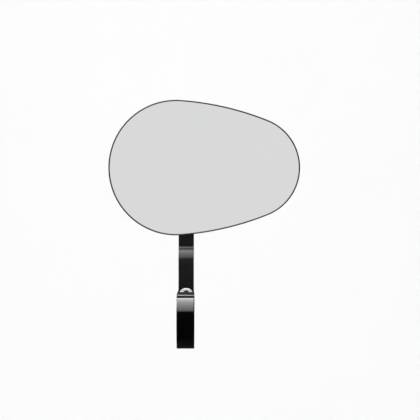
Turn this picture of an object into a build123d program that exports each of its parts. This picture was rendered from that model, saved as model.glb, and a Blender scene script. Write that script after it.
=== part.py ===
from build123d import *
import os
from math import cos, radians, sin, sqrt, tan

# Clamp-on mirror for the end of a handlebar grip. Millimetres.
# Origin: centre of the clamp bore. +X runs along the bar towards its end, +Z is up,
# and the rider looks along +Y, so the glass faces -Y.

# --- clamp ring and its pinch screw ---
BAND_WIDTH = 10.5
BAND_R = 16.55
SADDLE_R = 17.4
BAND_INNER_R = 14.4
BAND_EDGE = 0.35
SEAT_R = 13.8
LINER_WIDTH = 9.8
SLIT = 1.2
SCREW_ELEVATION = 50
SCREW_X = 0.3
SCREW_OFFSET = 18.4
LUG_REACH = 24.2
BARREL_R = 3.0
BARREL_DROP = 4.2
BARREL_LENGTH = 9.5
M4_R = 2.0
M4_CLEAR_R = 2.2
HEAD_R = 4.0
HEAD_H = 1.9
HEAD_CROWN = 0.15
HEAD_EDGE = 0.6
HEX_FLATS = 2.5
HEX_DEPTH = 1.3
HEAD_POCKET_R = 4.2
WASHER_T = 0.5
HEAD_SEAT = 4.6
SCREW_END = -6.9
SEAM_ELEVATION = 60.5
SEAM_GAP = 0.7
SEAM_EDGE = 0.25
LIP_EDGE = 0.35
BEAD_R = 0.7
BEAD_SETBACK = 1.3
BEAD_NECK = 0.9
BEAD_CLEAR = 0.05

# --- arm ---
ARM_X = 0.25
ARM_WIDTH = 9.3
ARM_T = 3.0
ARM_EDGE = 0.2
ARM_FRONT_Y = 13.2
ARM_SETBACK = 6.8
BEND_ANGLE = 58
BEND_LOW_Z = 39.0
BEND_LOW_R = 11.0
BEND_HIGH_R = 3.0
FLARE_LOW_Z = 15.2
FLARE_HIGH_Z = 18.1
HEEL_Z = 26.0

# --- ball joint ---
BALL_Y = 10.4
BALL_Z = 92.05
BALL_R = 4.0
NECK_R = 1.8
FLANGE_R = 4.4
FLANGE_T = 2.0
M5_R = 2.5
M5_CLEAR_R = 2.6
STUD_TAIL = 8.4
STUD_WASHER_R = 4.4
STUD_WASHER_T = 1.0
NUT_FLATS = 8.0
NUT_T = 4.0
JOINT_GAP = 0.05
CUP_T = 0.8
FRONT_CUP_ANGLE = 64
REAR_CUP_ANGLES = (84, 125)
MOUTH_ANGLE = 56

# --- socket behind the glass ---
SEAT_DISC_R = 5.8
SEAT_DISC_FRONT = -5.9
SEAT_DISC_ANGLE = 60
SPRING_H = 0.8
SPRING_T = 0.45
SPRING_R = (2.6, 5.6)
CAVITY_R = 6.0
BOSS_FACE = -0.4
BOSS_R = 10.6
BOSS_EDGE_T = 0.6
BOSS_ROOT_R = 12.3
CAP_EDGE_T = 1.4
CAP_LIP = 3.2
CAP_LIP_R = 6.4
CAP_SCREW_RING_R = 8.3
CAP_SCREW_ANGLES = (90, 210, 330)
CAP_SCREW_HEAD_R = 1.5
CAP_SCREW_R = 0.8
CAP_SCREW_DEPTH = 5.0

# --- egg-shaped head ---
WIDE_X = -5.6
WIDE_R = 40.7
NARROW_X = 38.1
NARROW_R = 30.7
FLANK_R = 173.0
RIM_T = 0.6
RIM_EDGE = 0.35
GLASS_REACH = 10.6
RIM_PROUD = 0.3
GLASS_T = 2.0
PAD_T = 0.8
PLATE_T = 1.5
SHELL_T = 1.6
CROWN_X = 8.0
CROWN_REACH = 2.6
CROWN_R = 900.0
BACK_ROUND = 3.2
LEDGE_T = 1.4
GLASS_GAP = 0.08
GLASS_EDGE = 0.15
PLATE_SCREW_AT = ((-30, 17), (-30, -17), (42, 14), (42, -14))
PLATE_POST_R = 2.6
PLATE_SCREW_R = 1.0
PLATE_SCREW_HEAD_R = 1.8
PLATE_SCREW_DEPTH = 2.6

ALONG = Vector(0, -cos(radians(SCREW_ELEVATION)), sin(radians(SCREW_ELEVATION)))
OUTWARD = Vector(0, sin(radians(SCREW_ELEVATION)), cos(radians(SCREW_ELEVATION)))
BALL = Vector(ARM_X, BALL_Y, BALL_Z)
SEAM_OUT = Vector(0, -cos(radians(SEAM_ELEVATION)), sin(radians(SEAM_ELEVATION)))
SEAM_BACK = Vector(0, sin(radians(SEAM_ELEVATION)), cos(radians(SEAM_ELEVATION)))
FAR = 60
UPPER_Y = ARM_FRONT_Y + ARM_SETBACK
GLASS_FRONT_Y = BALL_Y - GLASS_REACH
RIM_FRONT_Y = GLASS_FRONT_Y - RIM_PROUD
CROWN_Y = BALL_Y - CROWN_REACH
PAD_FRONT_Y = GLASS_FRONT_Y + GLASS_T
PLATE_FRONT_Y = PAD_FRONT_Y + PAD_T
PLATE_BACK_Y = PLATE_FRONT_Y + PLATE_T


def clamp_point(x, out, up):
    """A point by its distance outwards from the bar's axis and its height over the slit."""
    return Vector(x, 0, 0) + OUTWARD * out + ALONG * up


def along_screw(x, out, up):
    """A plane across the pinch screw's direction."""
    return Plane(origin=clamp_point(x, out, up), x_dir=(1, 0, 0), z_dir=ALONG)


def rod_up(x, out, low, high, radius):
    """A round rod parallel to the pinch screw."""
    return extrude(along_screw(x, out, low) * Circle(radius), high - low)


def lug_block(out, up, width):
    """A block beside the slit, given its reach outwards and its height as pairs."""
    size = (width, out[1] - out[0], up[1] - up[0])
    middle = along_screw(0, sum(out) / 2, sum(up) / 2)
    return middle * Box(*size)


def bar_cylinder(radius, width, x=0):
    return Pos(x, 0, 0) * Rot(0, 90, 0) * Cylinder(radius, width)


def foot_outline():
    """The arm's front outline: the strap flares to the band's width at its foot."""
    half = BAND_WIDTH / 2
    left = ARM_X - ARM_WIDTH / 2
    right = ARM_X + ARM_WIDTH / 2
    with BuildSketch(Plane.XZ.offset(-40)) as outline:
        with BuildLine():
            Line((-half, 0), (-half, FLARE_LOW_Z))
            TangentArc((-half, FLARE_LOW_Z), (left, FLARE_HIGH_Z), tangent=(0, 1))
            Polyline((left, FLARE_HIGH_Z), (left, 60), (right, 60), (right, FLARE_HIGH_Z))
            Polyline((right, FLARE_HIGH_Z), (half, FLARE_LOW_Z), (half, 0), (-half, 0))
        make_face()
    return extrude(outline.sketch, 80)


def saddle_sector(past_seam, past_slit):
    """The space between the front seam and the slit, grown past each by a distance."""
    corners = (
        SEAM_BACK * -past_seam,
        SEAM_OUT * FAR - SEAM_BACK * past_seam,
        Vector(0, 0, 2 * FAR),
        clamp_point(0, FAR, -past_slit),
        clamp_point(0, 0, -past_slit),
    )
    outline = [(point.Y, point.Z) for point in corners]
    face = Plane.YZ.offset(-FAR) * make_face(Polyline(*outline, outline[0]))
    return extrude(face, 2 * FAR)


def seam_bead(grow):
    """Full-width bead and neck at the band's front end, grown for the groove that takes it."""
    middle_r = (BAND_R + BAND_INNER_R) / 2
    bead = Pos(SEAM_OUT * middle_r + SEAM_BACK * BEAD_SETBACK)
    bead *= bar_cylinder(BEAD_R + grow, BAND_WIDTH + 2 * grow)
    neck_size = (BAND_WIDTH + 2 * grow, 2 * BEAD_SETBACK, BEAD_NECK + 2 * grow)
    neck = Plane(origin=SEAM_OUT * middle_r, x_dir=(1, 0, 0), z_dir=SEAM_OUT) * Box(*neck_size)
    return bead + neck


def rounded_ring(radius):
    """A ring round the bar with eased rims, out to a radius."""
    ring = bar_cylinder(radius, BAND_WIDTH)
    ring = fillet(ring.edges().filter_by(GeomType.CIRCLE), BAND_EDGE)
    return ring - bar_cylinder(BAND_INNER_R, 2 * BAND_WIDTH)


def seam_corner(part, radius, side):
    """The part's outer edge along the front seam, on one side of it."""
    corner = SEAM_OUT * radius + SEAM_BACK * side
    return part.edges().filter_by(Axis.X).sort_by_distance(corner)[0]


def clamp_band():
    """C-shaped band: a bead at its front end, and a round lug for the barrel nut."""
    lug_end = SCREW_OFFSET + BARREL_R + 1.3
    nut_centre = Pos(clamp_point(0, SCREW_OFFSET, -BARREL_DROP))
    lug = lug_block((BAND_INNER_R, lug_end), (-BARREL_DROP, -SLIT / 2), BAND_WIDTH)
    band = rounded_ring(BAND_R) - saddle_sector(SEAM_GAP / 2, SLIT / 2)
    band = chamfer(seam_corner(band, BAND_R, -SEAM_GAP / 2), SEAM_EDGE)
    band += lug + nut_centre * bar_cylinder(BARREL_R + 1.3, BAND_WIDTH)
    band += seam_bead(0)
    band -= bar_cylinder(BAND_INNER_R, 2 * BAND_WIDTH)
    band -= nut_centre * bar_cylinder(BARREL_R + JOINT_GAP, 2 * BAND_WIDTH)
    band -= rod_up(SCREW_X, SCREW_OFFSET, -20, 20, M4_CLEAR_R)
    return band


def grip_liner():
    liner = bar_cylinder(BAND_INNER_R, LINER_WIDTH) - bar_cylinder(SEAT_R, 2 * LINER_WIDTH)
    return liner - lug_block((0, LUG_REACH), (-SLIT, SLIT), 2 * BAND_WIDTH)


def arm_foot():
    """Lug and shoulder for the pinch screw, with a saddle that closes the top of the band."""
    back_y = ARM_FRONT_Y + ARM_T
    sine = sin(radians(SCREW_ELEVATION))
    cosine = cos(radians(SCREW_ELEVATION))
    outline = [
        clamp_point(0, BAND_INNER_R, HEAD_SEAT),
        clamp_point(0, (ARM_FRONT_Y + HEAD_SEAT * cosine) / sine, HEAD_SEAT),
        Vector(0, ARM_FRONT_Y, HEEL_Z),
        Vector(0, back_y, HEEL_Z),
        clamp_point(0, LUG_REACH, (LUG_REACH * sine - back_y) / cosine),
        clamp_point(0, LUG_REACH, SLIT / 2),
        clamp_point(0, BAND_INNER_R, SLIT / 2),
    ]
    corners = [(point.Y, point.Z) for point in outline]
    side = Plane.YZ.offset(-BAND_WIDTH / 2) * make_face(Polyline(*corners, corners[0]))
    saddle = rounded_ring(SADDLE_R) & saddle_sector(-SEAM_GAP / 2, -SLIT / 2)
    saddle = fillet(seam_corner(saddle, SADDLE_R, SEAM_GAP / 2), LIP_EDGE)
    foot = (extrude(side, BAND_WIDTH) + saddle) & foot_outline()
    return foot - bar_cylinder(BAND_INNER_R, 2 * BAND_WIDTH) - seam_bead(BEAD_CLEAR)


def arm_strap():
    """Flat strap that steps back behind the mirror and ends round the ball stud."""
    low_y = ARM_FRONT_Y + ARM_T / 2
    high_y = low_y + ARM_SETBACK
    foot_z = HEEL_Z - 4
    bend_high_z = BEND_LOW_Z + ARM_SETBACK / tan(radians(BEND_ANGLE))
    with BuildSketch(Plane.YZ.offset(ARM_X - ARM_WIDTH / 2)) as side:
        with BuildLine():
            FilletPolyline(
                (low_y, foot_z),
                (low_y, BEND_LOW_Z),
                (high_y, bend_high_z),
                (high_y, BALL_Z + ARM_WIDTH),
                radius=(BEND_LOW_R, BEND_HIGH_R),
            )
        trace(line_width=ARM_T)
    height = BALL_Z - foot_z
    front = Pos(ARM_X, foot_z + height / 2) * Rectangle(2 * ARM_WIDTH, height)
    front += Pos(ARM_X, BALL_Z) * Circle(ARM_WIDTH / 2)
    strap = extrude(side.sketch, ARM_WIDTH) & extrude(Plane.XZ * front, -60)
    return fillet(strap.edges() - strap.edges().filter_by(Axis.X), ARM_EDGE)


def arm():
    whole = arm_strap() + arm_foot()
    whole -= rod_up(SCREW_X, SCREW_OFFSET, -20, 20, M4_CLEAR_R)
    whole -= rod_up(SCREW_X, SCREW_OFFSET, HEAD_SEAT, 20, HEAD_POCKET_R)
    stud_hole = Plane.XZ.offset(-UPPER_Y - ARM_T - 1) * Pos(ARM_X, BALL_Z) * Circle(M5_CLEAR_R)
    whole -= extrude(stud_hole, ARM_T + 2)
    return whole


def clamp_screw():
    """Low-headed screw with a slightly crowned face and a hexagon socket."""
    seat = HEAD_SEAT + WASHER_T
    side_h = HEAD_H - HEAD_CROWN - HEAD_EDGE
    face_r = HEAD_R - HEAD_EDGE
    with BuildSketch(Plane.XZ) as half:
        with BuildLine():
            Polyline((0, HEAD_H), (0, 0), (HEAD_R, 0), (HEAD_R, side_h))
            TangentArc((HEAD_R, side_h), (face_r, side_h + HEAD_EDGE), tangent=(0, 1))
            RadiusArc((face_r, side_h + HEAD_EDGE), (0, HEAD_H), -face_r**2 / (2 * HEAD_CROWN))
        make_face()
    head = revolve(half.sketch, Axis.Z)
    socket = extrude(RegularPolygon(HEX_FLATS / 2, 6, major_radius=False), HEX_DEPTH + 1)
    head -= Pos(0, 0, HEAD_H - HEX_DEPTH) * socket
    shank = Pos(0, 0, SCREW_END - seat) * extrude(Circle(M4_R), seat - SCREW_END)
    shank = chamfer(shank.edges().group_by(Axis.Z)[0], 0.4)
    return along_screw(SCREW_X, SCREW_OFFSET, seat) * (head + shank)


def clamp_washer():
    blank = rod_up(SCREW_X, SCREW_OFFSET, HEAD_SEAT, HEAD_SEAT + WASHER_T, HEAD_R)
    return blank - rod_up(SCREW_X, SCREW_OFFSET, 0, 20, M4_R + JOINT_GAP)


def barrel_nut():
    nut = Pos(clamp_point(0, SCREW_OFFSET, -BARREL_DROP)) * bar_cylinder(BARREL_R, BARREL_LENGTH)
    return nut - rod_up(SCREW_X, SCREW_OFFSET, -20, 20, M4_R)


def ball_axis(low, high, radius):
    """A disc about the ball's fore-and-aft axis, placed by distances from the ball's centre."""
    place = Plane(origin=BALL + Vector(0, low, 0), x_dir=(1, 0, 0), z_dir=(0, 1, 0))
    return extrude(place * Circle(radius), high - low)


def ball_turned(points):
    """Turn an outline of (radius, distance behind the ball's centre) about that axis."""
    face = make_face(Polyline(*points, points[0]))
    turned = revolve(face, Axis.Y)
    return Pos(BALL) * turned


def ball_sphere(radius):
    return Pos(BALL) * Sphere(radius)


def cone_behind(angle, reach=20):
    """The space within an angle of the axis behind the ball."""
    width = reach * tan(radians(angle))
    return ball_turned(((0, 0), (width, reach), (0, reach)))


def cone_before(angle, reach=20):
    """The space within an angle of the axis in front of the ball."""
    width = reach * tan(radians(angle))
    return ball_turned(((0, 0), (width, -reach), (0, -reach)))


def ball_stud():
    rear = UPPER_Y - BALL_Y
    stud = ball_sphere(BALL_R)
    stud += ball_axis(0, rear, NECK_R)
    stud += ball_axis(rear - FLANGE_T, rear, FLANGE_R)
    tail = ball_axis(rear, rear + STUD_TAIL, M5_R)
    tail = chamfer(tail.edges().group_by(Axis.Y)[-1], 0.5)
    return stud + tail


def stud_washer():
    start = UPPER_Y + ARM_T - BALL_Y
    washer = ball_axis(start, start + STUD_WASHER_T, STUD_WASHER_R)
    return washer - ball_axis(start - 1, start + 2, M5_R + JOINT_GAP)


def stud_nut():
    start = UPPER_Y + ARM_T + STUD_WASHER_T - BALL_Y
    place = Plane(origin=BALL + Vector(0, start, 0), x_dir=(1, 0, 0), z_dir=(0, 1, 0))
    blank = extrude(place * RegularPolygon(NUT_FLATS / 2, 6, major_radius=False), NUT_T)
    corner = NUT_FLATS / sqrt(3)
    turned = ball_turned(
        (
            (0, start),
            (corner - 0.35, start),
            (corner, start + 0.35),
            (corner, start + NUT_T - 0.35),
            (corner - 0.35, start + NUT_T),
            (0, start + NUT_T),
        )
    )
    return (blank & turned) - ball_axis(start - 1, start + NUT_T + 1, M5_R)


def cup_shell():
    inner = BALL_R + JOINT_GAP
    return ball_sphere(inner + CUP_T) - ball_sphere(inner)


def front_ball_cup():
    return cup_shell() & cone_before(FRONT_CUP_ANGLE)


def rear_ball_cup():
    start, end = REAR_CUP_ANGLES
    shell = cup_shell() - cone_before(start)
    return shell - cone_behind(180 - end)


def seat_disc():
    """Dished disc that presses the front cup against the ball."""
    reach = BALL_R + CUP_T + 2 * JOINT_GAP
    rim = -reach * cos(radians(SEAT_DISC_ANGLE))
    disc = ball_axis(SEAT_DISC_FRONT, rim, SEAT_DISC_R)
    return disc - ball_sphere(reach)


def disc_spring():
    """Slotless conical spring washer under the dished disc."""
    inner, outer = SPRING_R
    top = SEAT_DISC_FRONT
    low = top - SPRING_H
    return ball_turned(
        (
            (inner, top - SPRING_T),
            (inner, top),
            (outer, low + SPRING_T),
            (outer, low),
        )
    )


def socket_cap():
    """Ring that holds the rear cup and the ball in the housing."""
    reach = BALL_R + CUP_T + 2 * JOINT_GAP
    blank = ball_turned(
        (
            (0, BOSS_FACE),
            (BOSS_R, BOSS_FACE),
            (BOSS_R, BOSS_FACE + CAP_EDGE_T),
            (CAP_LIP_R, CAP_LIP),
            (0, CAP_LIP),
        )
    )
    cap = blank - ball_sphere(reach)
    cap -= cone_behind(MOUTH_ANGLE)
    access = Plane.XZ.offset(-BOSS_FACE - CAP_EDGE_T) * Circle(CAP_SCREW_HEAD_R + 0.4)
    access = extrude(access, -CAP_EDGE_T)
    for angle in CAP_SCREW_ANGLES:
        cap -= round_the_cap(angle) * (cap_screw_blank(JOINT_GAP) + access)
    return cap


def cap_screw_blank(grow):
    """Countersunk screw without its socket, at the ball's centre, grown for its hole."""
    top = BOSS_FACE + CAP_EDGE_T + 0.35
    end = BOSS_FACE + CAP_EDGE_T - CAP_SCREW_DEPTH
    head_r = CAP_SCREW_HEAD_R + grow
    shank_r = CAP_SCREW_R + grow
    outline = Polyline(
        (0, end),
        (shank_r, end),
        (shank_r, top - head_r + shank_r),
        (head_r, top),
        (0, top),
        (0, end),
    )
    return revolve(make_face(outline), Axis.Y)


def round_the_cap(angle):
    """Where a cap screw stands, from the ball's centre, by its angle from +X."""
    across = CAP_SCREW_RING_R * cos(radians(angle))
    up = CAP_SCREW_RING_R * sin(radians(angle))
    return Pos(BALL + Vector(across, 0, up))


def socket_cap_screws():
    top = BOSS_FACE + CAP_EDGE_T + 0.35
    socket = Plane.XZ.offset(-top) * RegularPolygon(0.75, 6, major_radius=False)
    screw = cap_screw_blank(0) - extrude(socket, 0.9)
    return Compound(children=[round_the_cap(angle) * screw for angle in CAP_SCREW_ANGLES])


def egg(inset, y_front, y_back):
    """Egg-shaped slab: two end circles joined by flank arcs that touch both."""
    wide = WIDE_R - inset
    narrow = NARROW_R - inset
    flank = FLANK_R - inset
    spacing = NARROW_X - WIDE_X
    near = FLANK_R - WIDE_R
    far = FLANK_R - NARROW_R
    shift = (near**2 - far**2 + spacing**2) / (2 * spacing)
    drop = sqrt(near**2 - shift**2)
    flank_x = WIDE_X + shift

    def tangent(centre_x, radius, lever):
        return (
            centre_x + radius * (centre_x - flank_x) / lever,
            radius * drop / lever,
        )

    wide_x, wide_z = tangent(WIDE_X, wide, near)
    narrow_x, narrow_z = tangent(NARROW_X, narrow, far)
    middle_x = (wide_x + narrow_x) / 2
    middle_z = sqrt(flank**2 - (middle_x - flank_x) ** 2) - drop
    outline = [
        ThreePointArc((wide_x, wide_z), (WIDE_X - wide, 0), (wide_x, -wide_z)),
        ThreePointArc((wide_x, -wide_z), (middle_x, -middle_z), (narrow_x, -narrow_z)),
        ThreePointArc((narrow_x, -narrow_z), (NARROW_X + narrow, 0), (narrow_x, narrow_z)),
        ThreePointArc((narrow_x, narrow_z), (middle_x, middle_z), (wide_x, wide_z)),
    ]
    place = Plane(origin=(0, y_back, BALL_Z), x_dir=(1, 0, 0), z_dir=(0, -1, 0))
    return extrude(place * make_face(outline), y_back - y_front)


def head_disc(x, z, y_front, y_back, radius):
    """A round disc across the head, placed from the egg's own axis."""
    place = Plane(origin=(x, y_back, BALL_Z + z), x_dir=(1, 0, 0), z_dir=(0, -1, 0))
    return extrude(place * Circle(radius), y_back - y_front)


def crown(depth):
    """The large ball whose front shapes the shell's back, a depth under its surface."""
    return Pos(CROWN_X, CROWN_Y - CROWN_R, BALL_Z) * Sphere(CROWN_R - depth)


def boss_cone():
    """Flared foot of the ball's boss, from its face down into the shell."""
    face_y = BOSS_FACE
    root_y = CROWN_Y - BALL_Y - SHELL_T
    with BuildSketch() as half:
        with BuildLine():
            Line((BOSS_R, face_y), (BOSS_R, face_y - BOSS_EDGE_T))
            TangentArc((BOSS_R, face_y - BOSS_EDGE_T), (BOSS_ROOT_R, root_y), tangent=(0, -1))
            Polyline((BOSS_ROOT_R, root_y), (0, root_y), (0, face_y), (BOSS_R, face_y))
        make_face()
    return Pos(BALL) * revolve(half.sketch, Axis.Y)


def mirror_housing():
    """Thin-walled crowned shell with a rim round the glass and a boss for the ball."""
    shell = egg(0, RIM_FRONT_Y, CROWN_Y + 1) & crown(0)
    back_edge = shell.faces().sort_by(Axis.Y)[-1].outer_wire().edges()
    shell = fillet(back_edge, BACK_ROUND)
    shell = fillet(shell.edges().group_by(Axis.Y)[0], RIM_EDGE)
    boss_face = BALL_Y + BOSS_FACE
    hollow = egg(BACK_ROUND, PLATE_FRONT_Y - 1, CROWN_Y) & crown(SHELL_T)
    core = ball_axis(PLATE_FRONT_Y - BALL_Y + 0.1, CROWN_Y - BALL_Y, CAVITY_R + 2)
    posts = [
        head_disc(x, z, PLATE_BACK_Y, CROWN_Y, PLATE_POST_R) & crown(SHELL_T / 2)
        for x, z in PLATE_SCREW_AT
    ]
    housing = shell + boss_cone()
    housing -= egg(RIM_T, RIM_FRONT_Y - 1, PLATE_FRONT_Y)
    housing -= egg(RIM_T + LEDGE_T, PLATE_FRONT_Y - 1, PLATE_BACK_Y)
    housing = housing - hollow + core
    for post in posts:
        housing += post
    housing -= ball_axis(SEAT_DISC_FRONT - SPRING_H, boss_face, CAVITY_R)
    for x, z in PLATE_SCREW_AT:
        housing -= head_disc(x, z, PLATE_FRONT_Y, PLATE_BACK_Y + PLATE_SCREW_DEPTH, PLATE_SCREW_R)
    for angle in CAP_SCREW_ANGLES:
        housing -= round_the_cap(angle) * cap_screw_blank(0)
    return housing


def backing_plate():
    plate = egg(RIM_T + LEDGE_T + GLASS_GAP, PLATE_FRONT_Y, PLATE_BACK_Y)
    plate -= ball_axis(PLATE_FRONT_Y - BALL_Y - 1, PLATE_BACK_Y - BALL_Y + 1, CAVITY_R + 2.3)
    for x, z in PLATE_SCREW_AT:
        plate -= head_disc(x, z, PLATE_FRONT_Y, PLATE_BACK_Y, PLATE_SCREW_R)
        plate -= head_disc(x, z, PLATE_FRONT_Y, PLATE_FRONT_Y + 0.8, PLATE_SCREW_HEAD_R)
    return plate


def plate_screws():
    screws = []
    for x, z in PLATE_SCREW_AT:
        shank = head_disc(x, z, PLATE_FRONT_Y, PLATE_BACK_Y + PLATE_SCREW_DEPTH, PLATE_SCREW_R)
        head = head_disc(x, z, PLATE_FRONT_Y, PLATE_FRONT_Y + 0.8, PLATE_SCREW_HEAD_R)
        screws.append(shank + head)
    return Compound(children=screws)


def adhesive_pad():
    return egg(RIM_T + 1.2, PAD_FRONT_Y, PLATE_FRONT_Y)


def mirror_glass():
    glass = egg(RIM_T + GLASS_GAP, GLASS_FRONT_Y, PAD_FRONT_Y)
    return chamfer(glass.edges().group_by(Axis.Y)[0], GLASS_EDGE)


NODES = {
    "clamp_band": clamp_band,
    "grip_liner": grip_liner,
    "clamp_screw": clamp_screw,
    "clamp_washer": clamp_washer,
    "barrel_nut": barrel_nut,
    "arm": arm,
    "ball_stud": ball_stud,
    "stud_washer": stud_washer,
    "stud_nut": stud_nut,
    "front_ball_cup": front_ball_cup,
    "rear_ball_cup": rear_ball_cup,
    "seat_disc": seat_disc,
    "disc_spring": disc_spring,
    "socket_cap": socket_cap,
    "socket_cap_screws": socket_cap_screws,
    "mirror_housing": mirror_housing,
    "backing_plate": backing_plate,
    "plate_screws": plate_screws,
    "adhesive_pad": adhesive_pad,
    "mirror_glass": mirror_glass,
}

os.makedirs("parts", exist_ok=True)
for name, build in NODES.items():
    export_step(build(), f"parts/{name}.step")
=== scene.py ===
from math import cos, pi, radians, sin

import bpy
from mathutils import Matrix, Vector

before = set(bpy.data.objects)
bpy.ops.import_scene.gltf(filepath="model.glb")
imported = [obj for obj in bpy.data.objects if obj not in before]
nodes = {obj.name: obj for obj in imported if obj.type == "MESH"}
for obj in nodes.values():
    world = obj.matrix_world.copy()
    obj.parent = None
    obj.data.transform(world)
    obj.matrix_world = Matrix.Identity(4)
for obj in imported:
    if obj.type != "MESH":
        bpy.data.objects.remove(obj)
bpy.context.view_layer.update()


# ---------------------------------------------------------------- node helpers

def new_material(name):
    """A principled material, with its tree and shader."""
    material = bpy.data.materials.new(name)
    material.use_nodes = True
    tree = material.node_tree
    tree.nodes.clear()
    output = tree.nodes.new("ShaderNodeOutputMaterial")
    shader = tree.nodes.new("ShaderNodeBsdfPrincipled")
    tree.links.new(shader.outputs[0], output.inputs["Surface"])
    return material, tree, shader


def add(tree, kind, **values):
    """A node with its settings, and its sockets where the name is a socket's."""
    node = tree.nodes.new("ShaderNode" + kind)
    for key, value in values.items():
        socket = node.inputs.get(key.replace("_", " "))
        if hasattr(node, key):
            setattr(node, key, value)
        elif socket is not None:
            socket.default_value = value
        else:
            raise KeyError(key)
    return node


def object_space(tree):
    return add(tree, "TexCoord").outputs["Object"]


def noise(tree, scale, detail, stretch=None):
    """Noise in object space, with scale in lumps per metre."""
    texture = add(tree, "TexNoise", Scale=scale, Detail=detail, Roughness=0.55)
    place = object_space(tree)
    if stretch:
        mapping = add(tree, "Mapping", Scale=stretch)
        tree.links.new(place, mapping.inputs["Vector"])
        place = mapping.outputs[0]
    tree.links.new(place, texture.inputs["Vector"])
    return texture.outputs["Fac"]


def spread(tree, value, low, high, from_low=0.3, from_high=0.7):
    """Stretch a value between two limits."""
    node = add(tree, "MapRange")
    node.inputs["From Min"].default_value = from_low
    node.inputs["From Max"].default_value = from_high
    node.inputs["To Min"].default_value = low
    node.inputs["To Max"].default_value = high
    tree.links.new(value, node.inputs["Value"])
    return node.outputs[0]


def colour_mix(tree, factor, first, second):
    """Mix two colours, each a triple or another node's output."""
    node = add(tree, "Mix", data_type="RGBA")
    tree.links.new(factor, node.inputs["Factor"])
    for socket, colour in ((node.inputs[6], first), (node.inputs[7], second)):
        if hasattr(colour, "links"):
            tree.links.new(colour, socket)
        else:
            socket.default_value = (*colour, 1)
    return node.outputs[2]


def edge_mask(tree, radius):
    """One on an outer or inner edge, and nought on a smooth surface."""
    bevel = add(tree, "Bevel", samples=6, Radius=radius)
    plain = add(tree, "NewGeometry")
    compare = add(tree, "VectorMath", operation="DOT_PRODUCT")
    tree.links.new(bevel.outputs[0], compare.inputs[0])
    tree.links.new(plain.outputs["Normal"], compare.inputs[1])
    return spread(tree, compare.outputs["Value"], 1.0, 0.0, 0.85, 0.995)


def surface(tree, shader, heights, bevel=0.0002):
    """Rounded edges and bumps: heights are (value, distance) pairs."""
    normal = add(tree, "Bevel", samples=6, Radius=bevel).outputs[0]
    for value, distance in heights:
        bump = add(tree, "Bump", Distance=distance, Strength=1.0)
        tree.links.new(value, bump.inputs["Height"])
        tree.links.new(normal, bump.inputs["Normal"])
        normal = bump.outputs[0]
    tree.links.new(normal, shader.inputs["Normal"])


def dress(material, *names):
    """Give nodes a material in place of their plain one."""
    for name in names:
        slots = nodes[name].data.materials
        slots.clear()
        slots.append(material)


# ---------------------------------------------------------------- materials

def satin_black():
    """Fine powder coat on the arm."""
    material, tree, shader = new_material("satin_black_coat")
    grain = noise(tree, 5200, 3)
    cloud = noise(tree, 60, 5)
    worn = edge_mask(tree, 0.00025)
    base = colour_mix(tree, cloud, (0.0080, 0.0080, 0.0082), (0.0105, 0.0105, 0.0107))
    colour = colour_mix(tree, worn, base, (0.012, 0.012, 0.0125))
    tree.links.new(colour, shader.inputs["Base Color"])
    tree.links.new(spread(tree, cloud, 0.12, 0.17), shader.inputs["Roughness"])
    shader.inputs["Specular IOR Level"].default_value = 0.16
    surface(tree, shader, ((grain, 0.000002), (cloud, 0.00001)), bevel=0.0001)
    return material


def gloss_black():
    """Polished black lacquer on the band."""
    material, tree, shader = new_material("gloss_black_lacquer")
    peel = noise(tree, 700, 2)
    cloud = noise(tree, 45, 5)
    scratches = noise(tree, 300, 6, stretch=(14, 1, 1))
    base = colour_mix(tree, cloud, (0.0008, 0.0008, 0.0009), (0.0018, 0.0018, 0.0019))
    tree.links.new(base, shader.inputs["Base Color"])
    tree.links.new(spread(tree, scratches, 0.05, 0.11), shader.inputs["Roughness"])
    shader.inputs["Specular IOR Level"].default_value = 0.30
    surface(tree, shader, ((peel, 0.000003),), bevel=0.0001)
    return material


def black_anodised():
    """Bead-blasted, black-anodised aluminium."""
    material, tree, shader = new_material("black_anodised_aluminium")
    grain = noise(tree, 4200, 4)
    cloud = noise(tree, 35, 5)
    worn = edge_mask(tree, 0.0003)
    base = colour_mix(tree, cloud, (0.008, 0.008, 0.0085), (0.013, 0.013, 0.0135))
    colour = colour_mix(tree, worn, base, (0.05, 0.05, 0.052))
    tree.links.new(colour, shader.inputs["Base Color"])
    tree.links.new(spread(tree, grain, 0.26, 0.40), shader.inputs["Roughness"])
    shader.inputs["Specular IOR Level"].default_value = 0.4
    surface(tree, shader, ((grain, 0.00001),), bevel=0.0004)
    return material


def steel(name, light, dark, rough):
    """Turned steel: fine marks, a little staining and bright edges."""
    material, tree, shader = new_material(name)
    marks = noise(tree, 2600, 5, stretch=(1, 6, 1))
    stain = noise(tree, 400, 5)
    worn = edge_mask(tree, 0.0002)
    base = colour_mix(tree, stain, dark, light)
    bright = tuple(min(1.0, 1.15 * c) for c in light)
    tree.links.new(colour_mix(tree, worn, base, bright), shader.inputs["Base Color"])
    tree.links.new(spread(tree, marks, rough - 0.06, rough + 0.08), shader.inputs["Roughness"])
    shader.inputs["Metallic"].default_value = 1.0
    surface(tree, shader, ((marks, 0.000003),), bevel=0.00015)
    return material


def plastic(name, light, dark, rough, grain_scale=3000, grain_depth=0.000008):
    """Moulded plastic, rubber or foam with a fine grain."""
    material, tree, shader = new_material(name)
    grain = noise(tree, grain_scale, 4)
    cloud = noise(tree, 80, 4)
    tree.links.new(colour_mix(tree, cloud, dark, light), shader.inputs["Base Color"])
    tree.links.new(spread(tree, grain, rough - 0.08, rough + 0.08), shader.inputs["Roughness"])
    surface(tree, shader, ((grain, grain_depth),))
    return material


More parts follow.
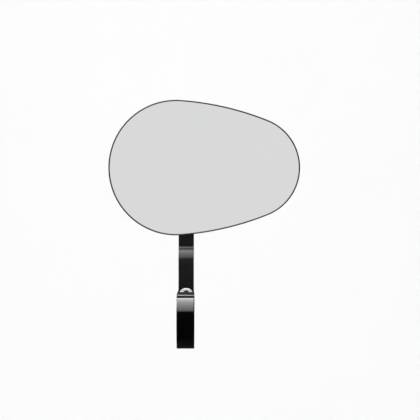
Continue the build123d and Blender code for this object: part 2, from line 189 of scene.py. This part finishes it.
def mirror_face():
    """Silvered glass with the faintest haze."""
    material, tree, shader = new_material("silvered_glass")
    haze = noise(tree, 25, 4)
    grit = noise(tree, 6000, 3)
    split = add(tree, "SeparateXYZ")
    tree.links.new(add(tree, "TexCoord").outputs["Normal"], split.inputs[0])
    ground = spread(tree, split.outputs["Y"], 0.0, 1.0, -0.98, -0.9)
    silver = colour_mix(tree, haze, (0.855, 0.858, 0.86), (0.87, 0.872, 0.874))
    edge = colour_mix(tree, grit, (0.05, 0.06, 0.055), (0.09, 0.10, 0.095))
    tree.links.new(colour_mix(tree, ground, silver, edge), shader.inputs["Base Color"])
    roughness = add(tree, "Mix")
    tree.links.new(ground, roughness.inputs["Factor"])
    tree.links.new(spread(tree, haze, 0.004, 0.02), roughness.inputs["A"])
    tree.links.new(spread(tree, grit, 0.45, 0.6), roughness.inputs["B"])
    tree.links.new(roughness.outputs[0], shader.inputs["Roughness"])
    tree.links.new(spread(tree, ground, 1.0, 0.0, 0.0, 1.0), shader.inputs["Metallic"])
    return material


black_oxide = steel("black_oxide_steel", (0.07, 0.07, 0.072), (0.053, 0.053, 0.055), 0.16)
bright_steel = steel("bright_steel", (0.80, 0.80, 0.81), (0.66, 0.66, 0.67), 0.16)
zinc = steel("zinc_plated_steel", (0.56, 0.57, 0.59), (0.40, 0.41, 0.43), 0.34)
spring_steel = steel("spring_steel", (0.36, 0.35, 0.33), (0.22, 0.21, 0.20), 0.3)
acetal = plastic("black_acetal", (0.02, 0.02, 0.021), (0.012, 0.012, 0.013), 0.42)
plate_plastic = plastic("backing_plastic", (0.05, 0.05, 0.052), (0.03, 0.03, 0.031), 0.6)
foam = plastic("foam_tape", (0.14, 0.14, 0.14), (0.08, 0.08, 0.08), 0.85, 900, 0.00005)
rubber = plastic("liner_rubber", (0.022, 0.022, 0.022), (0.012, 0.012, 0.012), 0.75, 1500, 0.00002)

dress(satin_black(), "arm")
dress(gloss_black(), "clamp_band")
dress(black_anodised(), "mirror_housing", "socket_cap")
dress(black_oxide, "clamp_screw")
dress(bright_steel, "ball_stud")
dress(zinc, "clamp_washer", "barrel_nut", "stud_washer", "stud_nut")
dress(zinc, "socket_cap_screws", "plate_screws")
dress(spring_steel, "disc_spring", "seat_disc")
dress(acetal, "front_ball_cup", "rear_ball_cup")
dress(plate_plastic, "backing_plate")
dress(foam, "adhesive_pad")
dress(rubber, "grip_liner")
dress(mirror_face(), "mirror_glass")


# ---------------------------------------------------------------- stage

CENTRE = Vector((0.0147, 0, 0.0666))
VIEW_WIDTH = 0.252
LENS = 200.0
SENSOR = 36.0
FLOOR_Z = -0.6
WALL_Y = 3.4
SWEEP_R = 1.6
FRONT_Y = -5.8
WALL_TOP = 6.0
STAGE_HALF = 5.8


def set_camera():
    """Level camera that looks along +Y at the middle of the frame."""
    data = bpy.data.cameras.new("camera")
    data.lens = LENS
    data.sensor_width = SENSOR
    data.clip_start = 0.05
    data.clip_end = 50
    camera = bpy.data.objects.new("camera", data)
    distance = VIEW_WIDTH * LENS / SENSOR
    camera.location = CENTRE - Vector((0, distance, 0))
    camera.rotation_euler = (pi / 2, 0, 0)
    bpy.context.scene.collection.objects.link(camera)
    bpy.context.scene.camera = camera


def stage_mesh(name, points, faces, material, smooth=True):
    """Mesh that belongs to the stage, not to the object."""
    mesh = bpy.data.meshes.new(name)
    mesh.from_pydata(points, [], faces)
    mesh.materials.append(material)
    for polygon in mesh.polygons:
        polygon.use_smooth = smooth
    piece = bpy.data.objects.new(name, mesh)
    bpy.context.scene.collection.objects.link(piece)
    return piece


def pale_floor():
    """Matt white paper."""
    material, tree, shader = new_material("pale_paper")
    tone = noise(tree, 3, 3)
    colour = colour_mix(tree, tone, (0.80, 0.80, 0.80), (0.82, 0.82, 0.82))
    tree.links.new(colour, shader.inputs["Base Color"])
    shader.inputs["Roughness"].default_value = 0.9
    shader.inputs["Specular IOR Level"].default_value = 0.1
    return material


def set_sweep():
    """Floor that curves up into a wall behind the object and one behind the camera."""
    steps = 24
    turns = [i / steps * pi / 2 for i in range(steps + 1)]
    rise = [(SWEEP_R * sin(turn), FLOOR_Z + SWEEP_R * (1 - cos(turn))) for turn in turns]
    front = [(FRONT_Y + SWEEP_R - y, z) for y, z in rise] + [(FRONT_Y, WALL_TOP)]
    back = [(WALL_Y - SWEEP_R + y, z) for y, z in rise] + [(WALL_Y, WALL_TOP)]
    profile = front[::-1] + back
    points = [(x, y, z) for y, z in profile for x in (-STAGE_HALF, STAGE_HALF)]
    faces = [(2 * i, 2 * i + 1, 2 * i + 3, 2 * i + 2) for i in range(len(profile) - 1)]
    floor = stage_mesh("floor", points, faces, pale_floor())
    floor.visible_glossy = False


def area_light(name, place, target, size, power):
    """Rectangular light aimed at a point, and not seen in reflections."""
    data = bpy.data.lights.new(name, "AREA")
    data.shape = "RECTANGLE"
    data.size, data.size_y = size
    data.energy = power
    light = bpy.data.objects.new(name, data)
    light.location = place
    light.rotation_euler = (Vector(target) - Vector(place)).to_track_quat("-Z", "Y").to_euler()
    light.visible_glossy = False
    bpy.context.scene.collection.objects.link(light)


PANEL_Z = 0.9
PANEL_SIDES = (-1.1, 0.2)
SURROUND_FAR = 1.6
SURROUND_FRONT_Y = -0.3
SURROUND_Z = (-0.55, 0.8)
CARD_Y = -3
CARD_HALF = 30
CLAMP_NODES = ("clamp_band", "grip_liner", "clamp_screw", "clamp_washer", "barrel_nut")
HEAD_NODES = tuple(name for name in nodes if name not in (*CLAMP_NODES, "arm"))
HEAD_AND_ARM = (*HEAD_NODES, "arm")


def overhead(elevation):
    """Where on the panels' plane a direction from the object lands, by its elevation."""
    angle = radians(elevation)
    return -PANEL_Z * cos(angle) / sin(angle)


def linked(name, members, state):
    """Collection of nodes that a light takes in or leaves out."""
    group = bpy.data.collections.new(name)
    for member in members:
        group.objects.link(nodes[member])
    for member in group.collection_objects:
        member.light_linking.link_state = state
    return group


def glowing(name):
    """A bare emission material, with its tree and shader."""
    material = bpy.data.materials.new(name)
    material.use_nodes = True
    tree = material.node_tree
    tree.nodes.clear()
    output = tree.nodes.new("ShaderNodeOutputMaterial")
    glow = tree.nodes.new("ShaderNodeEmission")
    tree.links.new(glow.outputs[0], output.inputs[0])
    return material, tree, glow


def overhead_panel(name, front, back, strengths, unblocked_by, lit, state="INCLUDE"):
    """Glowing overhead panel between two elevations in degrees, from ahead (0) over the top (90).

    Its strength runs from one end's to the other's. The nodes in unblocked_by cast no shadow
    from it, and it lights only the nodes in lit, or all but those.
    """
    material, tree, glow = glowing(name)
    split = add(tree, "SeparateXYZ")
    tree.links.new(object_space(tree), split.inputs[0])
    ends = (overhead(front), overhead(back))
    tree.links.new(spread(tree, split.outputs["Y"], *strengths, *ends), glow.inputs["Strength"])
    left, right = PANEL_SIDES
    corners = [(left, ends[0]), (right, ends[0]), (right, ends[1]), (left, ends[1])]
    panel = stage_mesh(name, [(x, y, PANEL_Z) for x, y in corners], [(0, 1, 2, 3)], material)
    panel.light_linking.blocker_collection = linked(name + "_unblocked", unblocked_by, "EXCLUDE")
    panel.light_linking.receiver_collection = linked(name + "_lit", lit, state)
    panel.visible_camera = False


def only_in_reflections(piece):
    """Hide a glowing stage piece from all but reflections."""
    piece.visible_camera = False
    piece.visible_diffuse = False
    piece.visible_shadow = False


def set_surround():
    """Soft low wall of light to the sides and behind, seen only in reflections."""
    material, tree, glow = glowing("surround")
    split = add(tree, "SeparateXYZ")
    tree.links.new(object_space(tree), split.inputs[0])
    tree.links.new(spread(tree, split.outputs["Z"], 0.5, 1.3, -0.5, 0.7), glow.inputs["Strength"])
    path = (
        (-SURROUND_FAR, SURROUND_FRONT_Y),
        (-SURROUND_FAR, SURROUND_FAR),
        (SURROUND_FAR, SURROUND_FAR),
        (SURROUND_FAR, SURROUND_FRONT_Y),
    )
    points = [(x, y, z) for x, y in path for z in SURROUND_Z]
    faces = [(2 * i, 2 * i + 1, 2 * i + 3, 2 * i + 2) for i in range(len(path) - 1)]
    surround = stage_mesh("surround", points, faces, material, smooth=False)
    only_in_reflections(surround)
    lit = (*HEAD_NODES, "grip_liner", "clamp_screw", "clamp_washer", "barrel_nut")
    surround.light_linking.receiver_collection = linked("surround_lit", lit, "INCLUDE")


def set_mirror_card():
    """Large pale card behind the camera, seen only in the glass."""
    material, tree, glow = glowing("mirror_card")
    tone = noise(tree, 0.6, 2)
    tree.links.new(spread(tree, tone, 0.795, 0.805), glow.inputs["Strength"])
    corners = [(i * CARD_HALF, j * CARD_HALF) for i, j in ((-1, -1), (1, -1), (1, 1), (-1, 1))]
    points = [(x, CARD_Y, z) for x, z in corners]
    card = stage_mesh("mirror_card", points, [(0, 1, 2, 3)], material)
    only_in_reflections(card)
    card.light_linking.receiver_collection = linked("mirror_card_lit", ["mirror_glass"], "INCLUDE")


def set_world():
    """Pale surroundings to the eye and to matt surfaces, and dim ones to reflections."""
    world = bpy.data.worlds.new("studio")
    bpy.context.scene.world = world
    world.use_nodes = True
    tree = world.node_tree
    tree.nodes.clear()
    output = tree.nodes.new("ShaderNodeOutputWorld")
    seen = add(tree, "Background", Color=(0.93, 0.93, 0.93, 1))
    lit = add(tree, "Background", Color=(0.05, 0.05, 0.05, 1))
    fill = add(tree, "Background", Color=(0.80, 0.80, 0.80, 1))
    path = add(tree, "LightPath")
    shown = lit
    for ray, choice in (("Is Diffuse Ray", fill), ("Is Camera Ray", seen)):
        mix = tree.nodes.new("ShaderNodeMixShader")
        tree.links.new(path.outputs[ray], mix.inputs[0])
        tree.links.new(shown.outputs[0], mix.inputs[1])
        tree.links.new(choice.outputs[0], mix.inputs[2])
        shown = mix
    tree.links.new(shown.outputs[0], output.inputs["Surface"])


set_camera()
set_sweep()
overhead_panel("softbox", 43.0, 104.0, (3.1, 12.6), HEAD_NODES, ["mirror_glass"], "EXCLUDE")
overhead_panel("near_strip", 104.1, 109.5, (12.5, 13.2), HEAD_AND_ARM, CLAMP_NODES)
overhead_panel("far_strip", 109.6, 116.5, (20.0, 20.0), HEAD_AND_ARM, CLAMP_NODES)
overhead_panel("saddle_strip", 119.5, 126.5, (29.0, 29.0), HEAD_AND_ARM, ["arm"])
set_surround()
set_mirror_card()
set_world()
area_light("wall_wash", place=(0, 1.9, 1.8), target=(0, WALL_Y, 0.2), size=(3.0, 0.4), power=22.5)
bpy.context.scene.view_settings.view_transform = "Standard"
